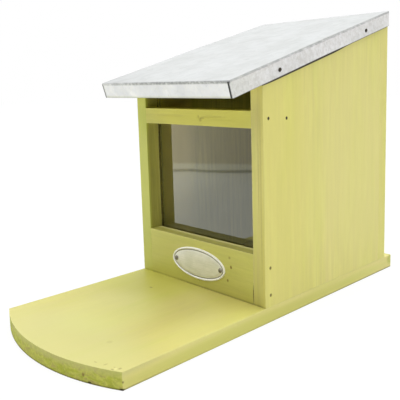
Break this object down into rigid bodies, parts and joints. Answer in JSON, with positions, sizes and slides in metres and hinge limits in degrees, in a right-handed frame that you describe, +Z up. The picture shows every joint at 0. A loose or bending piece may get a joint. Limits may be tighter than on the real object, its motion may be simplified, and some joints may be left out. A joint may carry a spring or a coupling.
{
  "type": "squirrel feeder",
  "caption": "Painted wooden squirrel feeder: a nut box with a clear front pane, a long landing board and a sloping metal-clad lid hinged at the back.",
  "frame": {"origin": "underside of the base board, at the middle of the feeder's length and width", "axes": "+Z up, the landing board points to -Y and the hinges are at +Y, X is the width"},
  "size_m": [0.1544, 0.328, 0.2423],
  "materials": {
    "painted_wood": "matt yellow-green wood paint, with faint grain showing through",
    "galvanised_sheet": "pale galvanised sheet, satin, faintly mottled",
    "clear_acrylic": "clear glossy acrylic sheet",
    "plate_metal": "stamped satin metal, bare",
    "zinc_hardware": "zinc-plated steel",
    "nail_steel": "dark steel"
  },
  "bodies": {
    "house": {"base_board": "painted_wood", "side_panel_left": "painted_wood", "side_panel_right": "painted_wood", "back_panel": "painted_wood", "front_panel": "painted_wood", "top_rail": "painted_wood", "pane_batten": "painted_wood", "oval_plate": "plate_metal", "plate_screws": "zinc_hardware", "side_nails_left": "nail_steel", "side_nails_right": "nail_steel", "back_nails": "nail_steel", "base_screws": "zinc_hardware", "hinge_leaf_fixed_left": "zinc_hardware", "hinge_leaf_fixed_right": "zinc_hardware", "hinge_pin_left": "zinc_hardware", "hinge_pin_right": "zinc_hardware", "hinge_screws_fixed": "zinc_hardware"},
    "window": {"window_pane": "clear_acrylic"},
    "lid": {"lid_board": "painted_wood", "roof_sheet": "galvanised_sheet", "roof_nails_left": "nail_steel", "roof_nails_right": "nail_steel", "hinge_leaf_moving_left": "zinc_hardware", "hinge_leaf_moving_right": "zinc_hardware", "hinge_screws_moving": "zinc_hardware"}
  },
  "joints": [
    {"name": "lid_hinge", "type": "hinge", "parent": "house", "child": "lid", "pos_m": [0, 0.1544, 0.22919], "axis": [-1, 0, 0], "range_deg": [0, 165]},
    {"name": "pane_slide", "type": "slide", "parent": "house", "child": "window", "axis": [0, 0, 1], "range_m": [0, 0.024]}
  ]
}
